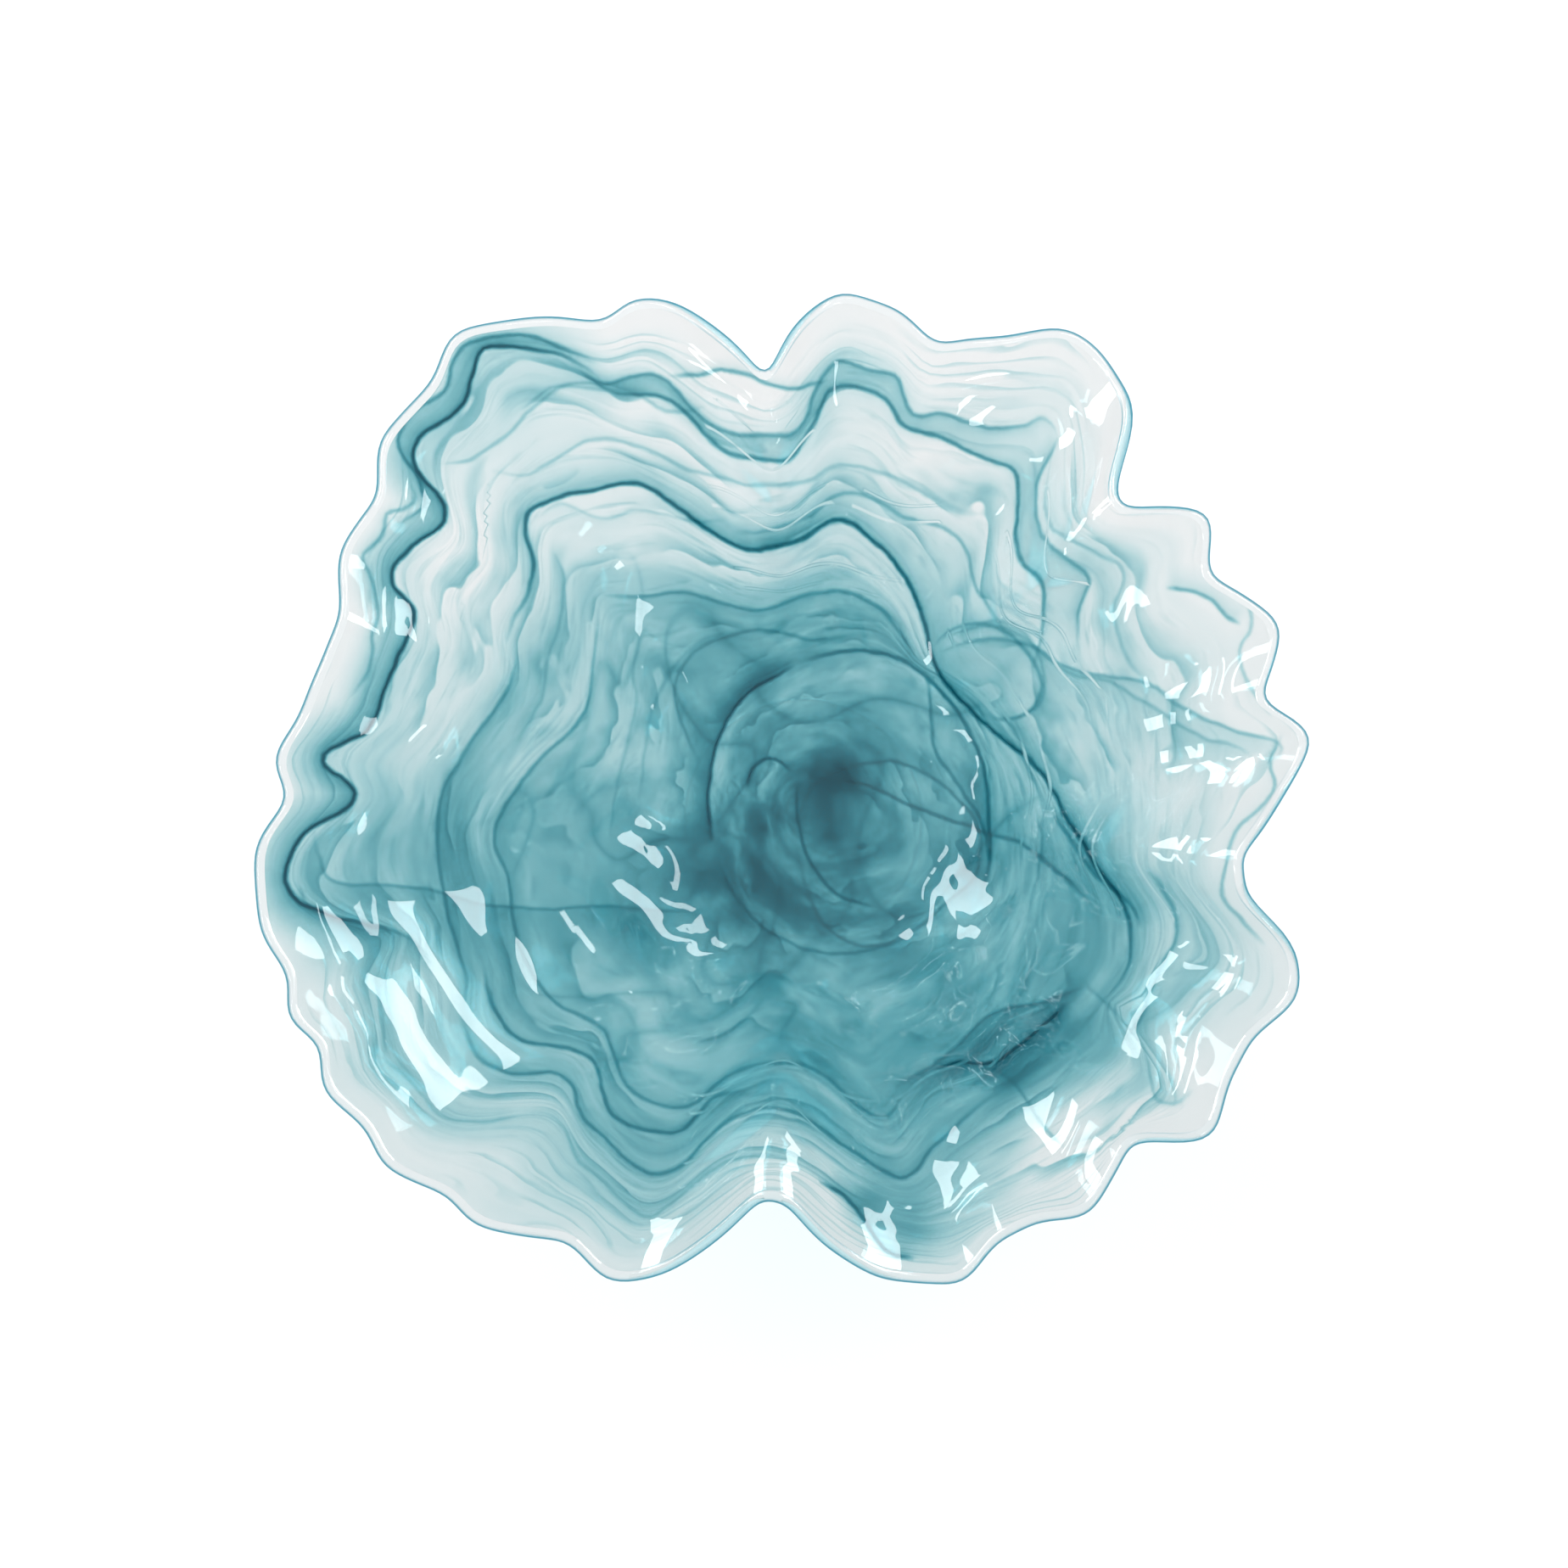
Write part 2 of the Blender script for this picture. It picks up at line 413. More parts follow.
# %% The trails
# Each trail: the side that it fades to (1 left of its run, -1 right), the strength of its thin line, the
# strength of its fill, the width of the fade in mm, and the points that it runs through in mm.
TRAILS = {
    "outer_line": (-1, 4.2, 2.0, 7, [
        (-81, 168), (-94, 177), (-105, 180), (-119, 181), (-128, 180), (-132, 171), (-135, 160),
        (-141, 153), (-150, 147), (-154, 142), (-155, 135), (-150, 127), (-144, 120), (-143, 113),
        (-145, 109), (-152, 104), (-158, 98), (-162, 92), (-162, 85), (-158, 80), (-155, 75),
        (-156, 67), (-159, 59), (-162, 51), (-166, 42), (-169, 34), (-174, 27), (-181, 23), (-189, 17),
        (-187, 12), (-181, 8), (-177, 3), (-181, -3), (-188, -7), (-197, -13), (-202, -22),
        (-204, -32), (-199, -40), (-188, -45), (-174, -48), (-160, -52),
    ]),
    "outer_edge": (1, 1.6, 0.7, 4, [
        (-81, 175), (-97, 181), (-110, 186), (-123, 186), (-135, 182), (-140, 174), (-143, 164),
        (-154, 156), (-160, 147), (-161, 140), (-155, 130), (-152, 123), (-151, 117), (-157, 112),
        (-163, 108),
    ]),
    "outer_top_upper": (-1, 1.2, 0.9, 4, [
        (-101, 178), (-87, 171), (-79, 167), (-69, 169), (-60, 170), (-53, 166), (-45, 158),
        (-35, 150), (-25, 146), (-15, 144), (-7, 145), (-1, 151), (3, 161), (8, 169), (13, 174),
        (20, 173), (28, 170), (36, 168), (40, 160), (44, 153), (53, 154), (62, 152), (73, 150),
        (85, 150), (94, 153), (99, 150), (101, 145),
    ]),
    "outer_top_lower": (1, 2.0, 0.8, 3.5, [
        (-94, 176), (-84, 168), (-77, 164), (-66, 163), (-56, 162), (-48, 157), (-40, 149), (-32, 142),
        (-22, 137), (-13, 135), (-6, 137), (2, 148), (6, 157), (10, 163), (18, 165), (28, 162),
        (34, 158), (38, 150), (45, 147), (55, 145), (65, 141), (73, 138), (82, 136), (86, 131),
        (86, 118), (86, 106), (88, 96), (94, 87), (96, 74), (95, 63), (92, 55),
    ]),
    "outer_right": (-1, 1.0, 0.8, 6, [
        (102, 146), (99, 139), (94, 130), (93, 117), (96, 105), (102, 97), (111, 91), (113, 86),
        (110, 76), (110, 65),
    ]),
    "outer_right_b": (1, 0.5, 0.3, 5, [
        (98, 129), (97, 117), (101, 105), (112, 98), (123, 93), (126, 86), (123, 78), (124, 68),
        (130, 56), (137, 48),
    ]),
    "top_blue": (1, 1.4, 0.4, 2, [
        (-53, 170), (-41, 169), (-32, 170), (-22, 167), (-14, 163), (-5, 162), (3, 165), (9, 167),
    ]),
    "middle_line": (1, 3.6, 1.2, 6, [
        (-120, 65), (-117, 74), (-112, 85), (-110, 98), (-112, 108), (-111, 117), (-105, 122),
        (-95, 126), (-82, 129), (-71, 131), (-63, 129), (-56, 125), (-48, 120), (-38, 114), (-29, 109),
        (-19, 106), (-9, 107), (0, 111), (7, 116), (14, 118), (20, 116), (29, 109), (39, 99), (46, 89),
        (50, 77), (54, 64), (61, 53), (71, 41), (85, 29), (93, 22), (101, 10), (108, -7), (117, -25),
        (126, -36), (130, -49), (129, -65), (121, -76),
    ]),
    "middle_left": (1, 1.2, 0.8, 7, [
        (-116, 62), (-119, 49), (-125, 39), (-133, 27), (-139, 16), (-144, 6), (-147, -11),
        (-145, -33), (-140, -53), (-134, -73),
    ]),
    "middle_halo": (-1, 0.3, 0.2, 5, [
        (-108, 116), (-98, 123), (-82, 118), (-69, 122), (-57, 120), (-42, 117), (-29, 119),
    ]),
    "upper_thin": (1, 0.6, 0.2, 5, [
        (-114, 157), (-101, 166), (-84, 165), (-68, 164), (-55, 157), (-38, 157),
    ]),
    "upper_thin_b": (1, 0.7, 0.2, 5, [
        (-145, 135), (-134, 137), (-120, 147), (-111, 157), (-97, 166), (-84, 167), (-71, 164),
    ]),
    "pale_line_a": (1, 0.6, 0.2, 5, [
        (-127, 134), (-114, 132), (-101, 139), (-85, 147), (-68, 145), (-52, 138), (-35, 133),
        (-19, 128), (-2, 129), (13, 137), (29, 134), (49, 126), (66, 119),
    ]),
    "pale_line_b": (1, 0.9, 0.25, 4, [
        (-29, 113), (-15, 112), (0, 118), (10, 125), (19, 127), (29, 124), (42, 117), (56, 114),
        (66, 106), (70, 92), (77, 79), (84, 68),
    ]),
    "inner_line": (-1, 1.2, 0.4, 8, [
        (-83, 88), (-70, 88), (-56, 91), (-46, 91), (-36, 88), (-22, 85), (-12, 86), (2, 90), (14, 92),
        (22, 90), (33, 84), (41, 74), (48, 63),
    ]),
    "inner_left": (1, 1.3, 0.5, 8, [
        (-83, 88), (-85, 75), (-87, 59), (-89, 44), (-96, 33), (-106, 23), (-117, 8), (-125, -6),
        (-125, -16), (-120, -26), (-118, -40), (-115, -54), (-108, -69), (-100, -79), (-90, -84),
        (-80, -90), (-76, -101), (-71, -112), (-61, -119), (-51, -121), (-42, -119), (-34, -112),
        (-24, -107), (-14, -105), (-2, -105), (9, -111), (19, -119), (29, -125), (34, -124),
        (40, -116), (48, -109), (56, -105),
    ]),
    "bottom_two": (1, 2.0, 0.7, 6, [
        (-129, -63), (-125, -80), (-117, -92), (-104, -96), (-91, -98), (-83, -104), (-80, -116),
        (-76, -124), (-67, -129), (-57, -131), (-49, -130), (-42, -124), (-34, -117), (-22, -116),
    ]),
    "bottom_three": (1, 1.7, 0.6, 6, [
        (-137, -84), (-130, -100), (-117, -107), (-101, -107), (-93, -112), (-88, -124), (-78, -134),
        (-67, -144), (-57, -147), (-46, -143), (-38, -134), (-28, -126), (-15, -122), (-2, -125),
        (12, -134), (25, -143), (36, -149), (43, -146), (50, -137), (56, -132), (66, -123), (82, -113),
    ]),
    "bottom_four": (1, 0.5, 0.3, 6, [
        (-115, -124), (-102, -123), (-94, -130), (-90, -141), (-80, -149), (-71, -158), (-61, -164),
        (-53, -160), (-43, -152), (-33, -145), (-22, -141), (-8, -141), (5, -148), (18, -159),
        (32, -163), (45, -167),
    ]),
    "bottom_speckled": (1, 2.6, 1.0, 4, [
        (5, -150), (15, -156), (23, -165), (28, -173), (34, -178), (43, -179),
    ]),
    "inner_four": (-1, 0.5, 0.4, 5, [
        (-102, 105), (-98, 92), (-99, 77), (-104, 60), (-107, 44), (-117, 26),
    ]),
    "inner_five": (1, 0.4, 0.2, 6, [
        (-63, 80), (-71, 60), (-69, 47), (-73, 30), (-78, 9), (-80, -12),
    ]),
    "inner_six": (1, 0.4, 0.2, 6, [
        (-22, 77), (-40, 73), (-54, 61), (-62, 47), (-66, 27), (-68, 6),
    ]),
    "core_left": (1, 3.0, 2.2, 7, [
        (-37, -11), (-39, 3), (-39, 15), (-37, 27), (-31, 41), (-23, 52), (-14, 57), (-3, 63),
    ]),
    "core_ring": (1, 2.4, 0.6, 6, [
        (-3, 63), (9, 67), (23, 69), (35, 67), (47, 61), (58, 51), (68, 35), (75, 18), (77, -1),
        (77, -19), (73, -34),
    ]),
    "core_bottom": (-1, 1.2, 0.5, 6, [
        (-36, -13), (-31, -27), (-23, -39), (-12, -48), (2, -55), (17, -57), (33, -54), (49, -48),
    ]),
    "core_inner": (1, 1.4, 0.5, 7, [
        (52, 58), (53, 41), (55, 27), (62, 17), (68, 8), (75, -6), (77, -22),
    ]),
    "core_swirl": (1, 1.8, 0.5, 5, [
        (-2, 15), (-3, 3), (0, -11), (6, -23), (16, -33), (30, -37),
    ]),
    "eye": (1, 2.4, 0.8, 4, [
        (-23, 12), (-21, 20), (-16, 24), (-9, 23), (-5, 19),
    ]),
    "veil_left": (-1, 0.9, 0.5, 14, [
        (-193, -10), (-192, -21), (-189, -30), (-182, -33), (-169, -33), (-157, -33), (-146, -34),
        (-134, -38), (-123, -40), (-107, -40), (-88, -38), (-71, -38), (-54, -39), (-35, -38),
    ]),
    "veil_right": (-1, 0.9, 0.4, 12, [
        (55, 66), (70, 70), (84, 69), (94, 65), (102, 59), (113, 54), (126, 51), (137, 47), (148, 38),
        (160, 31), (172, 26), (183, 23), (187, 19), (183, 14),
    ]),
    "veil_right_b": (-1, 0.6, 0.25, 8, [
        (60, 73), (74, 76), (87, 73), (96, 63), (108, 54), (123, 50), (134, 41), (146, 33), (158, 25),
        (171, 20), (177, 14),
    ]),
    "faint_ring": (-1, 0.5, 0.2, 5, [
        (57, 72), (70, 75), (85, 72), (95, 63), (98, 49), (95, 42), (84, 39), (73, 42),
    ]),
    "rim_right": (1, 1.2, 0.5, 4, [
        (142, 83), (151, 82), (159, 78), (165, 72), (171, 68),
    ]),
    "right_blue": (1, 1.0, 0.7, 4, [
        (135, -27), (141, -34), (147, -45), (147, -54), (143, -63), (137, -75), (133, -85), (125, -95),
    ]),
    "right_dark": (1, 1.3, 0.8, 7, [
        (101, 1), (108, -14), (117, -28), (130, -39), (134, -50),
    ]),
    "dark_sweep": (-1, 1.2, 1.2, 9, [
        (36, -113), (51, -105), (63, -96), (72, -86), (83, -82), (98, -79), (113, -72),
    ]),
    "dark_knot": (-1, 3.0, 2.4, 6, [
        (51, -106), (63, -103), (73, -104), (84, -98), (96, -88), (106, -79),
    ]),
    "pocket": (1, 0.5, 0.3, 6, [
        (110, -69), (122, -83), (133, -97), (135, -110), (137, -118), (145, -120), (152, -114),
    ]),
    "low_diagonal": (1, 0.8, 0.2, 5, [
        (74, -104), (84, -113), (93, -127), (101, -137),
    ]),
    "rim_left": (-1, 0.9, 0.3, 2, [
        (-157, 128), (-154, 120), (-159, 115), (-165, 113), (-167, 104), (-172, 99), (-174, 95),
        (-171, 89), (-169, 81), (-168, 73), (-170, 65), (-170, 57), (-172, 49), (-179, 40),
    ]),
    "left_stream_a": (-1, 0.8, 0.8, 5, [
        (-199, -33), (-196, -41), (-186, -46), (-171, -48), (-156, -54), (-148, -65),
    ]),
    "low_left_a": (1, 0.4, 0.3, 5, [
        (-167, -101), (-157, -109), (-150, -117), (-142, -125), (-127, -127), (-111, -124),
    ]),
    "low_left_b": (1, 0.4, 0.3, 5, [
        (-170, -67), (-167, -84), (-165, -101),
    ]),
    "lower_ring": (1, 1.3, 0.3, 6, [
        (-2, -6), (3, 12), (19, 21), (37, 23), (57, 14), (72, -3), (72, -24), (59, -37), (43, -49), (26, -54),
        (10, -46), (2, -32), (-2, -14),
    ]),
    "ring_tail": (1, 1.8, 0.5, 4, [
        (7, 15), (24, 14), (43, 6), (61, -1), (75, -7), (90, -13), (106, -27), (117, -40),
    ]),
    "pale_loop": (1, 1.0, 0.25, 5, [
        (53, 69), (62, 75), (74, 75), (85, 70), (94, 60), (97, 48), (89, 39), (78, 40),
    ]),
    "crown": (-1, 1.0, 0.3, 5, [
        (-42, 22), (-50, 37), (-54, 54), (-45, 68), (-29, 75), (-12, 78), (5, 74), (23, 76),
    ]),
    "rim_fine": (-1, 0.9, 0.12, 3, [
        (187, 25), (182, 14), (184, 4), (177, -6), (168, -14), (164, -27), (163, -38), (171, -48), (180, -58),
    ]),
    "rim_fine_b": (-1, 0.6, 0.12, 3, [
        (173, 81), (176, 68), (171, 57), (174, 45), (183, 32),
    ]),
}  # fmt: skip

# %% [markdown]
# Some trails close into loops round the bowl. They are the levels of the flow: 0 in the middle, 1 at the
# rim. Fine strands follow those levels, so they bend as the big trails bend. The wash is the soft colour
# between the trails, strong in the core and nearly gone in the margin. It gathers a little in the low half,
# and in smoky patches.

# %% The flow, the wash and the smoky patches
LOOPS = {
    0.25: ["core_left", "core_ring", "core_bottom"],
    0.45: ["inner_line", "inner_left"],
    0.62: ["middle_line", "middle_left", "bottom_three"],
    0.84: [
        "outer_top_upper", "outer_line", "outer_right_b", "low_left_b", "low_left_a", "bottom_four", "pocket",
        "right_blue",
    ],
}  # fmt: skip
# Density of the soft colour at each level, and the density added to it in the low half
WASH = [(0, 2.2), (0.1, 2.0), (0.25, 1.6), (0.35, 1.3), (0.45, 1.05), (0.55, 0.7), (0.65, 0.55), (0.75, 0.32),
        (0.84, 0.4), (0.92, 0.15), (0.97, 0.05), (1, 0.04)]  # fmt: skip
VEIL = [(0, 0), (0.2, 0.3), (0.45, 0.5), (0.65, 0.5), (0.8, 0.2), (0.9, 0)]

# Smoky patches where colour pooled, or thinned: across, up, size in mm, amount
SMUDGES = [
    (20, 19, 11, 2.6), (5, 11, 14, 2.6), (-16, 2, 9, 1.0), (-12, -12, 18, 0.9), (8, -26, 24, 0.8),
    (-28, -30, 26, 1.0), (-162, -10, 30, 0.5), (-130, -36, 42, 0.3), (-90, -5, 34, -0.4), (-95, -95, 40, -0.4),
    (-180, -56, 14, 0.9), (78, -104, 9, 2.6), (94, -98, 13, 1.2), (112, -91, 15, 0.7), (104, -84, 26, 0.2),
    (118, -40, 30, 0.3), (60, -60, 50, 0.3), (25, -158, 8, 1.2), (40, -166, 11, 1.1), (118, -130, 26, -0.7),
    (95, -150, 24, -0.5), (0, -150, 22, -0.5), (-60, 125, 50, -0.5), (50, 130, 40, -0.35), (-125, 95, 32, -0.45),
    (90, 95, 35, -0.1), (-100, -150, 45, 0.2), (-170, -100, 30, 0.25), (-40, -172, 34, 0.2), (60, -170, 30, 0.2),
    (150, -60, 30, 0.2),
]  # fmt: skip


def smooth_run(points, per=4):
    """A smooth line through hand-set points."""
    p = np.array([points[0], *points, points[-1]], float)
    t = (np.arange(per) / per)[:, None]
    parts = []
    for a, b, c, d in zip(p, p[1:], p[2:], p[3:]):
        bend, twist = 2 * a - 5 * b + 4 * c - d, 3 * b - a - 3 * c + d
        parts.append(0.5 * (2 * b + (c - a) * t + bend * t**2 + twist * t**3))
    return np.concatenate([*parts, p[-1:]])


RUNS = {name: smooth_run(row[4]) for name, row in TRAILS.items()}


def flow_net():
    """How far from the axis each level of the flow lies, on each bearing."""
    bearings = np.arange(NET_COLUMNS) * 360 / NET_COLUMNS
    radii = [np.zeros(NET_COLUMNS)]
    for names in LOOPS.values():
        points = np.concatenate([RUNS[n] for n in names])
        at = np.degrees(np.arctan2(points[:, 1], points[:, 0])) % 360
        order = np.argsort(at)
        reach = np.interp(bearings, at[order], np.hypot(*points.T)[order], period=360)
        radii.append(np.maximum(relax(reach, 2), radii[-1] + 3))
    edge = on_net(INNER_NET, np.radians(bearings), np.full(NET_COLUMNS, float(SPANS)), SPANS)
    radii.append(np.maximum(np.hypot(edge[:, 0], edge[:, 1]), radii[-1] + 3))
    return np.array(radii)


FLOW_NET = flow_net()
FLOW_LEVELS = [0, *LOOPS, 1]
print("flow levels", FLOW_LEVELS, "mean reach in mm", FLOW_NET.mean(axis=1).round(0))


def flow_at(x, y):
    """The level of the flow at points in plan."""
    turn = np.degrees(np.arctan2(y, x)) % 360 * NET_COLUMNS / 360
    column = np.floor(turn).astype(int) % NET_COLUMNS
    share = turn - np.floor(turn)
    radii = FLOW_NET[:, column] * (1 - share) + FLOW_NET[:, (column + 1) % NET_COLUMNS] * share
    r = np.hypot(x, y)
    flow = np.zeros_like(r)
    for k in range(len(FLOW_LEVELS) - 1):
        within = (r >= radii[k]) & (r <= radii[k + 1] + (1e3 if k == len(FLOW_LEVELS) - 2 else 0))
        rise = (r - radii[k]) / (radii[k + 1] - radii[k])
        flow = np.where(within, FLOW_LEVELS[k] + (FLOW_LEVELS[k + 1] - FLOW_LEVELS[k]) * rise, flow)
    return np.clip(flow, 0, 1)


# %% [markdown]
# A ring's points store how far each trail is, and the material draws the trail from that distance, so a line
# stays crisp between points. Trails that keep clear of each other share one layer. The first layers are
# drawn on the upper face of the colour and the rest on its lower face, which gives the pattern some depth.

# %% Store the colour on a piece
LAYERS = 4  # on each face


def reach_of(name):
    """How far in mm from its line a trail still shows."""
    return TRAILS[name][3] * 2.5 + 2


def packed_layers():
    """The trails in layers, none near another in its layer."""
    layers = []
    for name in TRAILS:
        for layer in layers:
            if all(
                np.min(np.hypot(*(RUNS[name][:, None] - RUNS[other][None]).reshape(-1, 2).T))
                > 0.8 * (reach_of(name) + reach_of(other)) for other in layer
            ):
                layer.append(name)
                break
        else:
            layers.append([name])
    return layers


PACKED = packed_layers()
print(len(TRAILS), "trails in", len(PACKED), "layers")


def distance_to(run, x, y):
    """Signed distance from a line, left of its run above zero, and how far along it the nearest point is."""
    best = np.full(len(x), 1e9)
    signed = np.zeros(len(x))
    along = np.zeros(len(x))
    lengths = np.hypot(*np.diff(run, axis=0).T)
    total = lengths.sum()
    gone = 0.0
    for (x0, y0), (x1, y1), length in zip(run, run[1:], lengths):
        if length < 1e-6:
            continue
        ux, uy = (x1 - x0) / length, (y1 - y0) / length
        t = np.clip((x - x0) * ux + (y - y0) * uy, 0, length)
        dx, dy = x - x0 - ux * t, y - y0 - uy * t
        d = np.hypot(dx, dy)
        near = d < best
        best = np.where(near, d, best)
        signed = np.where(near, np.where(ux * dy - uy * dx > 0, d, -d), signed)
        along = np.where(near, (gone + t) / total, along)
        gone += length
    return signed, along


def layer_values(layer, x, y):
    """Distance, line strength and fill strength of the nearest trail of a layer, and how soon it fades."""
    values = np.zeros((len(x), 3))
    values[:, 0] = 50  # mm: far from any trail
    soft = np.full(len(x), 0.2)
    best = np.full(len(x), 1e9)
    for name in layer:
        side, line, fill, width, _ = TRAILS[name]
        run, reach = RUNS[name], reach_of(name)
        lo, hi = run.min(0) - reach, run.max(0) + reach
        near = (x > lo[0]) & (x < hi[0]) & (y > lo[1]) & (y < hi[1])
        if not near.any():
            continue
        signed, along = distance_to(run, x[near], y[near])
        closer = np.abs(signed) < best[near]
        at_ends = np.clip(np.minimum(along, 1 - along) / 0.12, 0, 1)
        taper = at_ends * np.clip((reach - np.abs(signed)) / (0.4 * reach), 0, 1)
        rows = np.flatnonzero(near)[closer]
        values[rows, 0] = (signed * side)[closer]
        values[rows, 1] = (line * taper)[closer]
        values[rows, 2] = (fill * taper)[closer]
        soft[rows] = 1 / width
        best[rows] = np.abs(signed)[closer]
    return values, soft


def add_attribute(mesh, name, kind, values):
    """Stores a number or a vector on each point of a mesh."""
    attribute = mesh.attributes.new(name, kind, "POINT")
    field = "vector" if kind == "FLOAT_VECTOR" else "value"
    attribute.data.foreach_set(field, values.astype(np.float32).ravel())


def dye(ring):
    """Stores on a ring's points how the colour flows there and how far each trail is."""
    mesh = ring.data
    flat = np.empty(len(mesh.vertices) * 3, np.float32)
    mesh.vertices.foreach_get("co", flat)
    x, y, _ = flat.reshape(-1, 3).T.astype(float) / MM
    normals = np.empty(len(mesh.vertices) * 3, np.float32)
    mesh.vertex_normals.foreach_get("vector", normals)
    lower = normals.reshape(-1, 3)[:, 2] < 0
    flow = flow_at(x, y)
    turn = np.arctan2(y, x)
    spread = np.clip(flow / 0.25, 0, 1)  # draws the bearings together in the middle, so no star shows
    around = np.stack([np.cos(turn) * spread, np.sin(turn) * spread, flow], axis=1)
    add_attribute(mesh, "flow", "FLOAT_VECTOR", around)
    low_half = np.clip((40 - y) / 80, 0, 1)
    low_half = low_half * low_half * (3 - 2 * low_half)
    wash = np.interp(flow, *zip(*WASH)) + low_half * np.interp(flow, *zip(*VEIL))
    for across, up, size, amount in SMUDGES:
        patch = np.exp(-((x - across) ** 2 + (y - up) ** 2) / size**2)
        wash = np.maximum(wash + amount * patch, 0)
    add_attribute(mesh, "wash", "FLOAT", wash / 2)  # half on each face
    for k in range(LAYERS):
        values, soft = np.zeros((len(x), 3)), np.zeros(len(x))
        for layer, face in zip(PACKED[k::LAYERS], (~lower, lower)):
            values[face], soft[face] = layer_values(layer, x[face], y[face])
        add_attribute(mesh, f"trail_{k}", "FLOAT_VECTOR", values)
        add_attribute(mesh, f"soft_{k}", "FLOAT", soft)


# %% [markdown]
# The colour layer is a disc and eight rings, each between two spans of the wall. Each is a thin closed piece
# between the gather and the casing, and takes its part of the pattern.

# %% The colour rings
RINGS = [
    ("core_pool", -1, 0, "deep_teal_glass"), ("core_trail", 0, 2, "trail_teal_glass"),
    ("inner_veil", 2, 5, "veil_teal_glass"), ("inner_trail", 5, 6, "trail_teal_glass"),
    ("middle_veil", 6, 9, "veil_teal_glass"), ("middle_trail", 9, 10, "trail_teal_glass"),
    ("outer_veil", 10, 13, "pale_aqua_glass"), ("outer_trail", 13, 15, "trail_teal_glass"),
    ("clear_margin", 15, SPANS, "margin_glass"),
]  # fmt: skip
COLOUR_ROWS = 5  # faces to each span of a ring
POOL_ROWS = 12  # faces from the middle of the core to its edge


def colour_ring(name, start, end, slot):
    """One ring of the colour layer, between two spans of the wall."""
    inside, outside = GATHER_SHARE + SEAM, CASING_SHARE - SEAM
    rows = (end - start) * (COLOUR_ROWS if start >= 0 else POOL_ROWS)
    spans = runs(1 + start, 1 + end, rows) + [1 + end]
    outline = [(s, -inside) for s in spans] + [(s, -outside) for s in reversed(spans)]
    bm = spun_blank(outline)
    ring = laid(
        bm, name + "_glass", lambda turn, out, height: in_wall(turn, out - 1, -height),
        lambda out, height: min(abs(height + inside), abs(height + outside)) < 1e-4,
    )
    dye(ring)
    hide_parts(name)
    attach(ring, "root")
    return ring


rings = [colour_ring(*row) for row in RINGS]

# %% [markdown]
# ## Finishes
#
# Soda glass bends light where it meets air, and not where two layers are fused. So the air sides are clear
# glass and the seams let light straight through. Real glass gathers lamp light into bright patches, which
# takes very many samples to draw. Here lamp light simply passes the clear glass, so it leaves no dark
# shadow.

# %% Glass and seams


def new_material(name):
    """An empty material, with its nodes, its links and its output."""
    material = bpy.data.materials.new(name)
    material.use_nodes = True
    nodes = material.node_tree.nodes
    nodes.clear()
    return material, nodes, material.node_tree.links, nodes.new("ShaderNodeOutputMaterial")


class Nodes:
    """Short calls for the nodes of one material."""

    def __init__(self, nodes, links):
        self.nodes, self.links = nodes, links

    def put(self, value, socket):
        if isinstance(value, bpy.types.NodeSocket):
            self.links.new(value, socket)
        else:
            socket.default_value = value

    def maths(self, operation, *values):
        node = self.nodes.new("ShaderNodeMath")
        node.operation = operation
        for value, socket in zip(values, node.inputs):
            self.put(value, socket)
        return node.outputs[0]

    def attribute(self, name, output="Vector"):
        node = self.nodes.new("ShaderNodeAttribute")
        node.attribute_name = name
        return node.outputs[output]

    def noise(self, vector, scale, detail=3.0, rough=0.5, warp=0.0):
        node = self.nodes.new("ShaderNodeTexNoise")
        self.put(vector, node.inputs["Vector"])
        node.inputs["Scale"].default_value = scale
        node.inputs["Detail"].default_value = detail
        node.inputs["Roughness"].default_value = rough
        node.inputs["Distortion"].default_value = warp
        return node.outputs["Fac"]

    def scaled(self, vector, scale, offset=(0, 0, 0)):
        node = self.nodes.new("ShaderNodeVectorMath")
        node.operation = "MULTIPLY_ADD"
        self.put(vector, node.inputs[0])
        node.inputs[1].default_value = scale
        node.inputs[2].default_value = offset
        return node.outputs[0]

    def split(self, vector):
        node = self.nodes.new("ShaderNodeSeparateXYZ")
        self.put(vector, node.inputs[0])
        return node.outputs

    def ramp(self, value, low, high, to_low=0.0, to_high=1.0):
        """A smooth step between two values."""
        node = self.nodes.new("ShaderNodeMapRange")
        node.interpolation_type = "SMOOTHSTEP"
        self.put(value, node.inputs[0])
        for socket, number in zip(node.inputs[1:5], (low, high, to_low, to_high)):
            socket.default_value = number
        return node.outputs[0]

    def stain(self, density):
        """The colour that white light keeps after a density of the dye."""
        node = self.nodes.new("ShaderNodeCombineXYZ")
        for socket, strength in zip(node.inputs, TINT):
            self.put(self.maths("EXPONENT", self.maths("MULTIPLY", density, -strength)), socket)
        return node.outputs[0]

    def clear(self, colour):
        """Lets light straight through, and tints it."""
        node = self.nodes.new("ShaderNodeBsdfTransparent")
        self.put(colour, node.inputs[0])
        return node.outputs[0]

    def mix(self, factor, first, second):
        node = self.nodes.new("ShaderNodeMixShader")
        for value, socket in zip((factor, first, second), node.inputs):
            self.put(value, socket)
        return node.outputs[0]

    def lamp_light(self):
        """1 for light on its way from a lamp or to a matt surface."""
        path = self.nodes.new("ShaderNodeLightPath").outputs
        return self.maths("MAXIMUM", path["Is Shadow Ray"], path["Is Diffuse Ray"])


LAMP_TINT = (0.98, 0.985, 0.985, 1)  # what lamp light keeps at each face of clear glass
TRAPPED = (0.19, 0.26)  # between these values of facing, light inside the wall starts to be trapped


